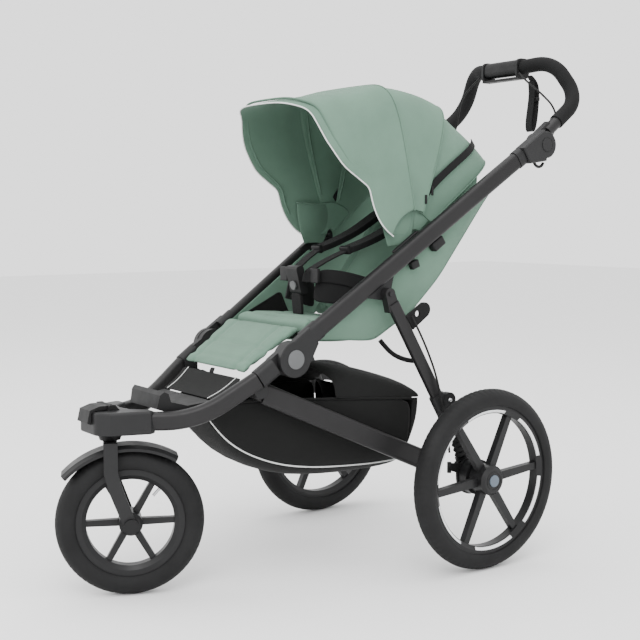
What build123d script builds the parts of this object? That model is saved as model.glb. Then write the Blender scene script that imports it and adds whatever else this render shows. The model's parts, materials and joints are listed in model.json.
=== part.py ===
from build123d import *
import os
from math import atan2, cos, radians, sin, tan

os.makedirs("parts", exist_ok=True)

# A three-wheeled jogging stroller in millimetres. +X is the stroller's left, the front
# faces -Y and +Z is up. Lengths along Y are measured from a point 221 in front of the rear
# axle, and ORIGIN_SHIFT then moves every piece so that the origin is under the middle.
ORIGIN_SHIFT = 1.17

# ---------------------------------------------------------------- driving dimensions
# wheels
REAR_AXLE_Y = 221
REAR_RADIUS = 200
REAR_TYRE = 24  # radius of the tyre's round section
REAR_HALF_TRACK = 315
REAR_RIM = 164  # the rim's outer radius, where the tyre starts
REAR_OPENING = 147  # the rim's inner radius, where the spokes end
FRONT_RADIUS = 152
FRONT_TYRE = 25
FRONT_RIM = 111
FRONT_OPENING = 90
TRAIL = 38.5  # from the steering axis back to the front axle
STEER_Y = -528
STEER_TURN = -24.2  # the caster stands turned by this about +Z
SPOKES = 6

# frame tubes: a rounded section, with a straight upper tube on each side
TUBE_W = 25
TUBE_H = 39
TUBE_ROUND = 11
TUBE_WALL = 1.8
TUBE_FOOT = Vector(166, -179, 506)
TUBE_HEAD = Vector(218, 431, 925)
TUBE_SLOPE = atan2(TUBE_HEAD.Z - TUBE_FOOT.Z, TUBE_HEAD.Y - TUBE_FOOT.Y)
LOWER_CORNER = Vector(117, -391, 365)  # where the front tube turns level
LOWER_NOSE = Vector(66, -473, 365)
LOWER_BEND = 220

# pivots, as (Y, Z)
FOLD = (-193, 481)
LEG_TOP = (36, 609)
RAIL_FRONT = (-259, 417)
RAIL_REAR = (160, 221)
HANDLE = (479, 941)
HOOD = (145, 728)
CREASE = (58, 532)  # where the backrest leaves the seat
HUB_R = 38
JOINT_R = 31
RAIL_FRONT_X = 130
RAIL_PIN_R = 6
PIN_GAP = 0.05  # radial running clearance of a pin in its bore
SIDE_GAP = 0.4  # between faces that slide past each other


def tube_point(distance, rise=0.0):
    """A point on the left upper tube's middle line, lifted square to the tube."""
    along = (TUBE_HEAD - TUBE_FOOT).normalized()
    up = Vector(0, -sin(TUBE_SLOPE), cos(TUBE_SLOPE))
    return TUBE_FOOT + along * distance + up * rise


def side_plane(x):
    """The vertical plane X = x, with sketch x along +Y and sketch y along +Z."""
    return Plane(origin=(x, 0, 0), x_dir=(0, 1, 0), z_dir=(1, 0, 0))


def section_plane(point, direction):
    """The plane square to a run, with sketch x across the stroller."""
    across = Vector(1, 0, 0) - direction * direction.X / direction.length**2
    return Plane(origin=point, x_dir=across, z_dir=direction)


def save(part, name):
    """Write one piece, moved to the stroller's own origin."""
    placed = part.moved(Location((0, ORIGIN_SHIFT, 0)))
    placed.label = name
    export_step(placed, f"parts/{name}.step")


def save_pair(part, name):
    """Write the left piece and its mirror image as two nodes."""
    save(part, f"{name}_left")
    save(mirror(part, about=Plane.YZ), f"{name}_right")


def save_both(part, name):
    """Write the left piece and its mirror image as one node, when both are on one body."""
    save(Compound([*part.solids(), *mirror(part, about=Plane.YZ).solids()]), name)


# ================================================================ frame tubes and castings
TUBE_LENGTH = (TUBE_HEAD - TUBE_FOOT).length
TUBE_START = 62  # the upper tube leaves the fold casting here
TUBE_END = TUBE_LENGTH - 40
LOWER_START = -112  # the front tube leaves its casting here
TUBE_DIRECTION = (TUBE_HEAD - TUBE_FOOT).normalized()

with BuildPart() as upper_tube:
    with BuildSketch(section_plane(tube_point(TUBE_START), TUBE_DIRECTION)):
        RectangleRounded(TUBE_W, TUBE_H, TUBE_ROUND)
        RectangleRounded(
            TUBE_W - 2 * TUBE_WALL,
            TUBE_H - 2 * TUBE_WALL,
            TUBE_ROUND - TUBE_WALL,
            mode=Mode.SUBTRACT,
        )
    extrude(amount=TUBE_END - TUBE_START)
save_both(upper_tube.part, "upper_tubes")

# the front housing embraces the ends of both front tubes over the caster
HOUSING_BOTTOM = 341
HOUSING_TOP = 388
STEER_STEM_R = 11
with BuildPart() as front_housing:
    with BuildSketch(Plane.XY.offset(HOUSING_BOTTOM)):
        with BuildLine():
            Polyline(
                (0, -577), (36, -577), (60, -556), (84, -478),
                (78, -466), (54, -466), (30, -494), (0, -500),
            )
            mirror(about=Plane.YZ)
        make_face()
    extrude(amount=HOUSING_TOP - HOUSING_BOTTOM)
    fillet(front_housing.edges().filter_by(Axis.Z).group_by(Axis.Y)[0], 22)
    fillet(front_housing.faces().sort_by(Axis.Z)[-1].edges(), 7)
    fillet(front_housing.faces().sort_by(Axis.Z)[0].edges(), 4)
    with Locations((0, STEER_Y, HOUSING_BOTTOM)):
        Cylinder(
            STEER_STEM_R + PIN_GAP, 30,
            align=(Align.CENTER, Align.CENTER, Align.MIN), mode=Mode.SUBTRACT,
        )
save(front_housing.part, "front_housing")

# the fold hub: the front casting's disc lies inside the rear casting's disc, on one pin
DISC_SPLIT = 167.0
DISC_OUTER = 182.0
DISC_INNER = 151.0
FOLD_PIN_R = 8
with BuildPart() as upper_casting:
    with BuildSketch(side_plane(DISC_SPLIT + SIDE_GAP)):
        with Locations(FOLD):
            Circle(HUB_R)
        with BuildLine():
            Polyline(
                *[
                    (tube_point(d, r).Y, tube_point(d, r).Z)
                    for d, r in ((-30, 21), (40, 21), (40, -21), (0, -42), (-20, -14))
                ],
                close=True,
            )
        make_face()
    extrude(amount=DISC_OUTER - DISC_SPLIT - SIDE_GAP)
    chamfer(upper_casting.faces().sort_by(Axis.X)[-1].edges(), 1.5)
    with BuildSketch(section_plane(tube_point(17), TUBE_DIRECTION)):
        RectangleRounded(TUBE_W + 3.5, TUBE_H + 3.5, TUBE_ROUND + 1.5)
    extrude(amount=TUBE_START - 17)
    with BuildSketch(side_plane(DISC_INNER - 20)):
        with Locations(FOLD):
            Circle(FOLD_PIN_R + PIN_GAP)
    extrude(amount=48, mode=Mode.SUBTRACT)
save_both(upper_casting.part, "fold_castings_rear")

with BuildPart() as lower_casting:
    with BuildSketch(side_plane(DISC_INNER)):
        with Locations(FOLD):
            Circle(HUB_R - 1)
        with BuildLine():
            Polyline(
                *[
                    (tube_point(d, r).Y, tube_point(d, r).Z)
                    for d, r in ((-20, 19), (-70, 20), (-70, -20), (-40, -40), (-20, -14))
                ],
                close=True,
            )
        make_face()
    extrude(amount=DISC_SPLIT - DISC_INNER)
    with BuildSketch(section_plane(tube_point(LOWER_START), TUBE_DIRECTION)):
        RectangleRounded(TUBE_W + 3.5, TUBE_H + 3.5, TUBE_ROUND + 1.5)
    extrude(amount=-68 - LOWER_START)
    with BuildSketch(side_plane(DISC_INNER)):
        with Locations(FOLD):
            Circle(FOLD_PIN_R + PIN_GAP)
    extrude(amount=DISC_SPLIT - DISC_INNER, mode=Mode.SUBTRACT)
    with BuildSketch(side_plane(139.6)):
        with Locations(RAIL_FRONT):
            Circle(16)
        with BuildLine():
            Polyline((-275, 417), (-275, 450), (-243, 460), (-243, 417), close=True)
        make_face()
    extrude(amount=12)
    with BuildSketch(side_plane(120)):
        with Locations(RAIL_FRONT):
            Circle(RAIL_PIN_R)
    extrude(amount=20)
save_both(lower_casting.part, "fold_castings_front")

LOWER_DIRECTION = (LOWER_CORNER - tube_point(LOWER_START)).normalized()
with BuildPart() as lower_tube:
    with BuildLine():
        FilletPolyline(tube_point(LOWER_START), LOWER_CORNER, LOWER_NOSE, radius=LOWER_BEND)
    with BuildSketch(section_plane(tube_point(LOWER_START), LOWER_DIRECTION)):
        RectangleRounded(TUBE_W, TUBE_H, TUBE_ROUND)
    sweep()
    add(front_housing.part, mode=Mode.SUBTRACT)
    add(lower_casting.part, mode=Mode.SUBTRACT)
save_both(lower_tube.part.solids().sort_by(SortBy.VOLUME)[-1], "lower_tubes")

with BuildPart() as fold_pin:
    with BuildSketch(side_plane(DISC_INNER - 3)):
        with Locations(FOLD):
            Circle(FOLD_PIN_R)
    extrude(amount=DISC_OUTER - 4 - DISC_INNER)
    with BuildSketch(side_plane(DISC_INNER - SIDE_GAP)):
        with Locations(FOLD):
            Circle(FOLD_PIN_R + 5)
    extrude(amount=-3)
save_both(fold_pin.part, "fold_pins")

with BuildPart() as fold_cap:
    with BuildSketch(side_plane(DISC_OUTER)):
        with Locations(FOLD):
            Circle(20)
    extrude(amount=1.6)
    fillet(fold_cap.faces().sort_by(Axis.X)[-1].edges(), 0.7)
save_both(fold_cap.part, "fold_caps")

# ================================================================ handlebar
GRIP_R = 17.5
BAR_R = 14.5
BAR_SPLIT = 209.6  # the bar's eyes lie inside the joint housings from here
BAR_POINTS = [(204, 508, 972), (200, 622, 1056), (137, 600, 1151), (72, 572, 1143)]
BAR_BENDS = [72, 72, 110]
HANDLE_PIN_R = 9

with BuildPart() as handle_joint:
    with BuildSketch(side_plane(BAR_SPLIT + SIDE_GAP)):
        with Locations(HANDLE):
            Circle(JOINT_R)
        with BuildLine():
            Polyline(
                *[
                    (tube_point(TUBE_LENGTH + d, r).Y, tube_point(TUBE_LENGTH + d, r).Z)
                    for d, r in ((-20, 21), (62, 19), (62, -14), (28, -45), (-20, -21))
                ],
                close=True,
            )
        make_face()
    extrude(amount=237 - BAR_SPLIT - SIDE_GAP)
    chamfer(handle_joint.faces().sort_by(Axis.X)[-1].edges(), 2.5)
    with BuildSketch(section_plane(tube_point(TUBE_END), TUBE_DIRECTION)):
        RectangleRounded(TUBE_W + 3.5, TUBE_H + 3.5, TUBE_ROUND + 1.5)
    extrude(amount=30)
    with BuildSketch(side_plane(BAR_SPLIT)):
        with Locations(HANDLE):
            Circle(HANDLE_PIN_R + PIN_GAP)
    extrude(amount=28, mode=Mode.SUBTRACT)
    with BuildSketch(side_plane(237 - 7)):
        with Locations(HANDLE):
            Circle(16.3)
    extrude(amount=7, mode=Mode.SUBTRACT)
save_both(handle_joint.part, "handle_joints")

with BuildPart() as handle_button:
    with BuildSketch(side_plane(237 - 2.5)):
        with Locations(HANDLE):
            Circle(16)
    extrude(amount=3.5)
    fillet(handle_button.faces().sort_by(Axis.X)[-1].edges(), 1.2)
save_pair(handle_button.part, "handle_button")

bar_route = BAR_POINTS + [(-x, y, z) for x, y, z in reversed(BAR_POINTS)]
with BuildPart() as handlebar:
    with BuildLine():
        FilletPolyline(*bar_route, radius=BAR_BENDS + BAR_BENDS[::-1])
    start = Vector(*BAR_POINTS[0])
    with BuildSketch(section_plane(start, Vector(*BAR_POINTS[1]) - start)):
        Circle(BAR_R)
    sweep()
    for x in (BAR_SPLIT - 16, -BAR_SPLIT):
        with BuildSketch(side_plane(x)):
            with Locations(HANDLE):
                Circle(JOINT_R - 2)
            with BuildLine():
                Polyline(
                    (458, 958), (512, 998), (532, 974), (500, 925), (486, 915), close=True
                )
            make_face()
        extrude(amount=16)
    for x in (BAR_SPLIT, -BAR_SPLIT - 20):
        with BuildSketch(side_plane(x)):
            with Locations(HANDLE):
                Circle(HANDLE_PIN_R)
        extrude(amount=20)
save(handlebar.part, "handlebar")

# foam over the bends on each side, leaving the middle for the twist brake
FOAM_FROM = 44  # length of the bar left bare above each joint
FOAM_GAP = 0.05
TWIST_HALF = 63  # half of the twist brake's width
bar_rise = Vector(*BAR_POINTS[1]) - Vector(*BAR_POINTS[0])
with BuildPart() as foam:
    with BuildLine():
        FilletPolyline(*bar_route, radius=BAR_BENDS + BAR_BENDS[::-1])
    with BuildSketch(section_plane(Vector(*BAR_POINTS[0]), bar_rise)):
        Circle(GRIP_R)
        Circle(BAR_R + FOAM_GAP, mode=Mode.SUBTRACT)
    sweep()
    with BuildSketch(section_plane(Vector(*BAR_POINTS[0]), bar_rise)):
        Circle(2 * GRIP_R)
    extrude(amount=FOAM_FROM, mode=Mode.SUBTRACT)
    with BuildSketch(side_plane(TWIST_HALF + 1)):
        with Locations((BAR_POINTS[1][1], BAR_POINTS[1][2])):
            Circle(BAR_POINTS[1][1])
    extrude(amount=-2 * BAR_POINTS[0][0], mode=Mode.SUBTRACT)
save_both(foam.part, "handlebar_foam")

TWIST_AXIS_Z = 1143
TWIST_Y = 572
COLLAR_IN = 56
COLLAR_OUT = TWIST_HALF
with BuildPart() as brake_body:
    for low in (COLLAR_IN, -COLLAR_OUT):
        with BuildSketch(side_plane(low)):
            with Locations((TWIST_Y, TWIST_AXIS_Z - 4)):
                RectangleRounded(43, 50, 15)
        extrude(amount=COLLAR_OUT - COLLAR_IN)
    with BuildSketch(side_plane(-COLLAR_OUT)):
        with Locations((TWIST_Y - 4, TWIST_AXIS_Z - 27)):
            RectangleRounded(26, 6, 2)
    extrude(amount=2 * COLLAR_OUT)
    add(handlebar.part, mode=Mode.SUBTRACT)
save(brake_body.part, "brake_body")

with BuildPart() as twist_grip:
    with BuildSketch(side_plane(-COLLAR_IN + SIDE_GAP)):
        with Locations((TWIST_Y, TWIST_AXIS_Z)):
            RectangleRounded(38, 38, 14)
            Circle(BAR_R + 1.2, mode=Mode.SUBTRACT)
    extrude(amount=2 * (COLLAR_IN - SIDE_GAP))
save(twist_grip.part, "brake_twist_grip")

# cables leave the brake body, bow outwards and end at the joints
CABLE_R = 2.4


def cable(points, radii, radius=CABLE_R):
    """A round cable along straight runs joined by tangent arcs."""
    with BuildPart() as run:
        with BuildLine():
            FilletPolyline(*points, radius=radii)
        first_run = Vector(*points[1]) - Vector(*points[0])
        with BuildSketch(section_plane(Vector(*points[0]), first_run)):
            Circle(radius)
        sweep()
    return run.part


def bend_radii(points):
    """0.45 of the shorter run over the tangent of half the turn, for each corner."""
    radii = []
    for before, corner, after in zip(points, points[1:], points[2:]):
        first_run = Vector(*corner) - Vector(*before)
        next_run = Vector(*after) - Vector(*corner)
        half_turn = radians(first_run.get_angle(next_run)) / 2
        radii.append(0.45 * min(first_run.length, next_run.length) / tan(half_turn))
    return radii


upper_cable_route = [
    (70, 552, 1126), (104, 546, 1101), (140, 552, 1074), (168, 570, 1040),
    (181, 572, 1000), (183, 548, 962),
]
save_both(cable(upper_cable_route, bend_radii(upper_cable_route)), "brake_cables_upper")

# wrist strap: a flat webbing that hangs from the bar to the left joint
with BuildPart() as wrist_strap:
    with BuildSketch(side_plane(82)):
        with BuildLine():
            Polyline(
                (566, 1118), (584, 1118), (590, 1060), (572, 975), (562, 978),
                (577, 1060), close=True,
            )
        make_face()
    extrude(amount=24)
save(wrist_strap.part, "wrist_strap")

# ================================================================ legs, springs and brakes
LEG_HEAD = Vector(199, LEG_TOP[0], LEG_TOP[1])
LEG_TOE = Vector(243, 166, 337)
LEG_DIRECTION = (LEG_TOE - LEG_HEAD).normalized()
LEG_PIN_R = 5

with BuildPart() as leg_bracket:
    with BuildSketch(side_plane(177)):
        with Locations(LEG_TOP):
            Circle(15)
        with BuildLine():
            Polyline((-34, 604), (20, 596), (50, 606), (66, 672), close=True)
        make_face()
    extrude(amount=12)
    with BuildSketch(side_plane(177)):
        with Locations(LEG_TOP):
            Circle(LEG_PIN_R)
    extrude(amount=35)
    add(upper_tube.part, mode=Mode.SUBTRACT)
save_both(leg_bracket.part.solids().sort_by(SortBy.VOLUME)[-1], "leg_brackets")

with BuildPart() as leg:
    with BuildSketch(section_plane(LEG_HEAD + LEG_DIRECTION * 24, LEG_DIRECTION)):
        RectangleRounded(18, 28, 6)
    extrude(amount=(LEG_TOE - LEG_HEAD).length - 24)
    with BuildSketch(side_plane(190)):
        with Locations(LEG_TOP):
            Circle(13)
        with BuildLine():
            Polyline((24, 606), (34, 568), (63, 576), (48, 612), close=True)
        make_face()
    extrude(amount=18)
    with BuildSketch(side_plane(188)):
        with Locations(LEG_TOP):
            Circle(LEG_PIN_R + PIN_GAP)
    extrude(amount=22, mode=Mode.SUBTRACT)
save_both(leg.part, "rear_legs")

with BuildPart() as leg_foot:
    with BuildSketch(section_plane(LEG_TOE - LEG_DIRECTION * 52, LEG_DIRECTION)):
        RectangleRounded(24, 34, 8)
    extrude(amount=54)
    with BuildSketch(side_plane(236)):
        with Locations((170, 372)):
            Circle(17)
    extrude(amount=16)
    add(leg.part, mode=Mode.SUBTRACT)
save_both(leg_foot.part, "leg_feet")

with BuildPart() as leg_tab:
    with BuildSketch(side_plane(212)):
        with BuildLine():
            Polyline((72, 560), (118, 588), (136, 560), (92, 530), close=True)
        make_face()
        with Locations((124, 572)):
            Circle(16)
        with Locations((104, 564)):
            Circle(7, mode=Mode.SUBTRACT)
    extrude(amount=6)
    add(leg.part, mode=Mode.SUBTRACT)
save_both(leg_tab.part, "leg_tabs")

# the shock unit stands on the wheel carrier and slides along the leg's lower end
AXLE_Z = REAR_RADIUS
CARRIER_X = 246
SHOCK_FOOT = Vector(245, 212, 240)
SHOCK_TOP = Vector(245, 180, 322)
SHOCK_DIRECTION = (SHOCK_TOP - SHOCK_FOOT).normalized()
BELLOWS_R = 14
shock_plane = Plane(
    origin=SHOCK_FOOT, x_dir=(1, 0, 0), z_dir=Vector(1, 0, 0).cross(SHOCK_DIRECTION)
)
with BuildPart() as bellows:
    with BuildSketch(shock_plane):
        with BuildLine():
            folds = 7
            pitch = (SHOCK_TOP - SHOCK_FOOT).length / folds
            edge = []
            for n in range(folds):
                edge += [(BELLOWS_R - 4, n * pitch), (BELLOWS_R, (n + 0.5) * pitch)]
            edge.append((BELLOWS_R - 4, folds * pitch))
            Polyline((0, 0), *edge, (0, folds * pitch), close=True)
        make_face()
    revolve(axis=Axis(SHOCK_FOOT, SHOCK_DIRECTION))
save_both(bellows.part, "shock_bellows")

REAR_AXLE_R = 6
with BuildPart() as carrier:
    with BuildSketch(side_plane(CARRIER_X)):
        with Locations((REAR_AXLE_Y, AXLE_Z)):
            Circle(26)
        with BuildLine():
            Polyline((196, 208), (190, 230), (232, 246), (246, 206), close=True)
        make_face()
    extrude(amount=12)
    with BuildSketch(Plane(origin=SHOCK_FOOT - SHOCK_DIRECTION * 10, z_dir=SHOCK_DIRECTION)):
        Circle(BELLOWS_R + 1)
    extrude(amount=9.5)
    with BuildSketch(side_plane(CARRIER_X)):
        with Locations((REAR_AXLE_Y, AXLE_Z)):
            Circle(REAR_AXLE_R)
    extrude(amount=334 - CARRIER_X)
save_pair(carrier.part, "wheel_carrier")

SHIELD_X = 264
CAM = (REAR_AXLE_Y - 32, AXLE_Z - 24)  # the brake lever's pivot on the shield
ADJUSTER = (CAM[0] - 28, CAM[1] + 50)
with BuildPart() as brake_shield:
    with BuildSketch(side_plane(SHIELD_X)):
        with Locations((REAR_AXLE_Y, AXLE_Z)):
            Circle(42)
            Circle(REAR_AXLE_R, mode=Mode.SUBTRACT)
    extrude(amount=5)
    with BuildSketch(side_plane(258)):
        with Locations((REAR_AXLE_Y, AXLE_Z)):
            Circle(18)
            Circle(REAR_AXLE_R, mode=Mode.SUBTRACT)
    extrude(amount=6)
    with BuildSketch(side_plane(SHIELD_X + 5)):
        with Locations((REAR_AXLE_Y, AXLE_Z)):
            Circle(33)
            Circle(25, mode=Mode.SUBTRACT)
            Rectangle(12, 80, mode=Mode.SUBTRACT)
    extrude(amount=12)
    with BuildSketch(side_plane(256)):
        with Locations(CAM):
            Circle(3)
    extrude(amount=SHIELD_X - 256)
    with BuildSketch(side_plane(SHIELD_X)):
        with BuildLine():
            Polyline(
                (REAR_AXLE_Y - 36, AXLE_Z + 8), (ADJUSTER[0] - 6, ADJUSTER[1] - 6),
                (ADJUSTER[0] + 2, ADJUSTER[1] + 8), (REAR_AXLE_Y - 24, AXLE_Z + 30), close=True,
            )
        make_face()
    extrude(amount=3)
    with BuildSketch(Plane(origin=(262, ADJUSTER[0], ADJUSTER[1] - 14), z_dir=(0, 0, 1))):
        RegularPolygon(5, 6)
    extrude(amount=24)
save_pair(brake_shield.part, "brake_shield")

# the lever that the cable pulls, on its cam pin at the shield's lower front
with BuildPart() as brake_lever:
    with BuildSketch(side_plane(258)):
        with Locations(CAM):
            Circle(7)
        with BuildLine():
            Polyline(
                (CAM[0] - 2, CAM[1] + 6), (CAM[0] - 34, CAM[1] + 4),
                (CAM[0] - 34, CAM[1] - 6), (CAM[0] + 2, CAM[1] - 6), close=True,
            )
        make_face()
        with Locations(CAM):
            Circle(3 + PIN_GAP, mode=Mode.SUBTRACT)
    extrude(amount=4)
save_pair(brake_lever.part, "brake_lever")


# lower brake cables run down behind the legs to the adjusters
lower_cable_route = [
    (222, 84, 560), (233, 112, 500), (247, 134, 430), (259, 142, 360), (262, 155, 310),
    (262, 161, 257),
]
save_both(cable(lower_cable_route, bend_radii(lower_cable_route)), "brake_cables_lower")

# ================================================================ wheels


def radial_plane(hub, turn=0.0):
    """A plane through a wheel's axis: sketch x runs outwards and sketch y along the axle."""
    out = hub.x_dir * cos(radians(turn)) + hub.y_dir * sin(radians(turn))
    across = -hub.y_dir * cos(radians(turn)) + hub.x_dir * sin(radians(turn))
    return Plane(origin=hub.origin, x_dir=out, z_dir=across)


def make_tyre(hub, radius, section, rim_radius, seat):
    """A hollow tyre, open on the inside where it sits on the rim."""
    with BuildPart() as tyre:
        with BuildSketch(radial_plane(hub)):
            with Locations((radius - section, 0)):
                Circle(section)
                Circle(section - 3.5, mode=Mode.SUBTRACT)
            with Locations((rim_radius - section, 0)):
                Rectangle(2 * section, 2 * seat, mode=Mode.SUBTRACT)
        revolve(axis=Axis(hub.origin, hub.z_dir))
    return tyre.part


def make_rim(hub, rim_radius, opening, seat, boss_radius, boss_ends, bore, spoke):
    """A moulded rim: the ring, its tapered spokes and the boss with its bore."""
    spoke_wide, spoke_narrow, spoke_depth, first_turn = spoke
    low, high = boss_ends
    with BuildPart() as rim:
        with BuildSketch(radial_plane(hub)):
            with BuildLine():
                Polyline(
                    (opening, 6 - seat), (opening + 9, -seat), (rim_radius, -seat),
                    (rim_radius, seat), (opening + 9, seat), (opening, seat - 6), close=True,
                )
            make_face()
            with BuildLine():
                Polyline(
                    (bore, low), (boss_radius * 0.8, low), (boss_radius, low + 5),
                    (boss_radius, high - 6), (boss_radius * 0.8, high), (bore, high), close=True,
                )
            make_face()
        revolve(axis=Axis(hub.origin, hub.z_dir))
        for n in range(SPOKES):
            turn = radians(first_turn + n * 360 / SPOKES)
            blade = Plane(
                origin=hub.origin - hub.z_dir * (spoke_depth / 2),
                x_dir=hub.x_dir * cos(turn) + hub.y_dir * sin(turn),
                z_dir=hub.z_dir,
            )
            with BuildSketch(blade):
                with BuildLine():
                    Polyline(
                        (boss_radius - 4, -spoke_wide / 2), (opening + 1, -spoke_narrow / 2),
                        (opening + 1, spoke_narrow / 2), (boss_radius - 4, spoke_wide / 2),
                        close=True,
                    )
                make_face()
            extrude(amount=spoke_depth)
    return rim.part


REAR_SEAT = 16.5  # half the rim's width
FRONT_SEAT = 16.5
rear_hub = Plane(origin=(REAR_HALF_TRACK, REAR_AXLE_Y, AXLE_Z), x_dir=(0, 1, 0), z_dir=(1, 0, 0))
save_pair(make_tyre(rear_hub, REAR_RADIUS, REAR_TYRE, REAR_RIM, REAR_SEAT), "rear_tyre")
HUB_BUTTON_R = 13
rear_rim = make_rim(
    rear_hub, REAR_RIM, REAR_OPENING, REAR_SEAT, 33, (-24, 26), REAR_AXLE_R + PIN_GAP, (19, 15, 15, 5)
)
with BuildPart() as rear_rim_with_drum:
    add(rear_rim)
    with BuildSketch(side_plane(SHIELD_X + 5 + SIDE_GAP)):
        with Locations((REAR_AXLE_Y, AXLE_Z)):
            Circle(39)
            Circle(35, mode=Mode.SUBTRACT)
    extrude(amount=16)
    with BuildSketch(side_plane(SHIELD_X + 21)):
        with Locations((REAR_AXLE_Y, AXLE_Z)):
            Circle(39)
            Circle(REAR_AXLE_R + PIN_GAP, mode=Mode.SUBTRACT)
    extrude(amount=8)
    with BuildSketch(side_plane(REAR_HALF_TRACK + 26)):
        with Locations((REAR_AXLE_Y, AXLE_Z)):
            Circle(HUB_BUTTON_R + PIN_GAP)
    extrude(amount=-6, mode=Mode.SUBTRACT)
save_pair(rear_rim_with_drum.part, "rear_rim")

with BuildPart() as hub_button:
    with BuildSketch(side_plane(REAR_HALF_TRACK + 26 - 3)):
        with Locations((REAR_AXLE_Y, AXLE_Z)):
            Circle(HUB_BUTTON_R)
    extrude(amount=6)
    fillet(hub_button.faces().sort_by(Axis.X)[-1].edges(), 1.5)
save_pair(hub_button.part, "wheel_release_button")

# the caster: everything here is turned about the steering axis
caster_back = Vector(-sin(radians(STEER_TURN)), cos(radians(STEER_TURN)), 0)
caster_left = Vector(cos(radians(STEER_TURN)), sin(radians(STEER_TURN)), 0)


def caster_plane(offset):
    """A plane beside the front wheel: sketch x backwards from the steering axis, y up."""
    return Plane(
        origin=Vector(0, STEER_Y, 0) + caster_left * offset, x_dir=caster_back, z_dir=caster_left
    )


front_hub = Plane(
    origin=Vector(0, STEER_Y, FRONT_RADIUS) + caster_back * TRAIL,
    x_dir=caster_back,
    z_dir=caster_left,
)
FRONT_AXLE_R = 5
save(make_tyre(front_hub, FRONT_RADIUS, FRONT_TYRE, FRONT_RIM, FRONT_SEAT), "front_tyre")
save(
    make_rim(
        front_hub, FRONT_RIM, FRONT_OPENING, FRONT_SEAT, 24, (-32, 32),
        FRONT_AXLE_R + PIN_GAP, (14, 12, 14, 0),
    ),
    "front_rim",
)

LEG_IN = 35.5
LEG_OUT = 43.5
CROWN_BOTTOM = 311
CROWN_TOP = 323
with BuildPart() as fork:
    for low in (LEG_IN, -LEG_OUT):
        with BuildSketch(caster_plane(low)):
            with BuildLine():
                Polyline(
                    (-14, CROWN_TOP), (14, CROWN_TOP), (14, 262), (24, 226),
                    (TRAIL + 13, 150), (TRAIL + 2, 136), (TRAIL - 13, 146), (-4, 222),
                    (-14, 260), close=True,
                )
            make_face()
        extrude(amount=LEG_OUT - LEG_IN)
    with BuildSketch(caster_plane(-LEG_OUT)):
        with Locations((0, (CROWN_BOTTOM + CROWN_TOP) / 2)):
            RectangleRounded(28, CROWN_TOP - CROWN_BOTTOM, 3)
    extrude(amount=2 * LEG_OUT)
    with Locations((0, STEER_Y, CROWN_TOP - 2)):
        Cylinder(STEER_STEM_R, 48, align=(Align.CENTER, Align.CENTER, Align.MIN))
    with BuildSketch(caster_plane(-LEG_OUT - 1)):
        with Locations((TRAIL, FRONT_RADIUS)):
            Circle(FRONT_AXLE_R)
    extrude(amount=2 * LEG_OUT + 2, mode=Mode.SUBTRACT)
save(fork.part, "fork")

with BuildPart() as front_axle:
    with BuildSketch(caster_plane(-LEG_OUT - 1)):
        with Locations((TRAIL, FRONT_RADIUS)):
            Circle(FRONT_AXLE_R)
    extrude(amount=2 * LEG_OUT + 2)
    for low in (LEG_OUT, -LEG_OUT - 6):
        with BuildSketch(caster_plane(low)):
            with Locations((TRAIL, FRONT_RADIUS)):
                Circle(15)
        extrude(amount=6)
save(front_axle.part, "front_axle")

# the mudguard is an arc about a point below the axle, so that its ends stand off the tyre
GUARD_R = 191
GUARD_DROP = 28
GUARD_HALF = 33
GUARD_FROM = 59
GUARD_ARC = 77
guard_hub = Plane(
    origin=front_hub.origin - Vector(0, 0, GUARD_DROP), x_dir=caster_back, z_dir=caster_left
)
with BuildPart() as mudguard:
    with BuildSketch(radial_plane(guard_hub, GUARD_FROM)):
        with BuildLine():
            Polyline(
                (GUARD_R - 12, -GUARD_HALF), (GUARD_R - 6, -GUARD_HALF),
                (GUARD_R, -GUARD_HALF + 9), (GUARD_R, GUARD_HALF - 9),
                (GUARD_R - 6, GUARD_HALF), (GUARD_R - 12, GUARD_HALF),
                (GUARD_R - 12, GUARD_HALF - 2.5), (GUARD_R - 7, GUARD_HALF - 2.5),
                (GUARD_R - 2.5, GUARD_HALF - 10), (GUARD_R - 2.5, -GUARD_HALF + 10),
                (GUARD_R - 7, -GUARD_HALF + 2.5), (GUARD_R - 12, -GUARD_HALF + 2.5),
                close=True,
            )
        make_face()
    revolve(axis=Axis(guard_hub.origin, guard_hub.z_dir), revolution_arc=GUARD_ARC)
    add(fork.part, mode=Mode.SUBTRACT)
save(mudguard.part, "front_mudguard")

# the steering bearing, and the lever that locks the caster straight
with BuildPart() as steer_bearing:
    with BuildSketch(Plane.XY.offset(CROWN_TOP + 1)):
        with Locations((0, STEER_Y)):
            Circle(21)
            Circle(STEER_STEM_R + PIN_GAP, mode=Mode.SUBTRACT)
    with BuildSketch(Plane.XY.offset(HOUSING_BOTTOM)):
        with Locations((0, STEER_Y)):
            Circle(27)
            Circle(STEER_STEM_R + PIN_GAP, mode=Mode.SUBTRACT)
    loft()
save(steer_bearing.part, "steering_bearing")

LOCK_PIVOT = (-536, 394.5)
LOCK_PIN_R = 3
with BuildPart() as lock_lever:
    with BuildSketch(side_plane(-24)):
        with BuildLine():
            Polyline(
                (-532, 389.5), (-532, 398), (-560, 398), (-582, 391), (-588, 366),
                (-579, 362), (-579, 384), (-570, 389.5), close=True,
            )
        make_face()
        with Locations(LOCK_PIVOT):
            Circle(5.5)
            Circle(LOCK_PIN_R + PIN_GAP, mode=Mode.SUBTRACT)
    extrude(amount=48)
save(lock_lever.part, "swivel_lock_lever")

with BuildPart() as lock_hinge:
    with BuildSketch(side_plane(-31)):
        with Locations(LOCK_PIVOT):
            Circle(LOCK_PIN_R)
    extrude(amount=62)
    for low in (24.5, -30.5):
        with BuildSketch(side_plane(low)):
            with BuildLine():
                Polyline((-546, 388), (-542, 399), (-530, 399), (-520, 388), close=True)
            make_face()
        extrude(amount=6)
save(lock_hinge.part, "swivel_lock_hinge")

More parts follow.
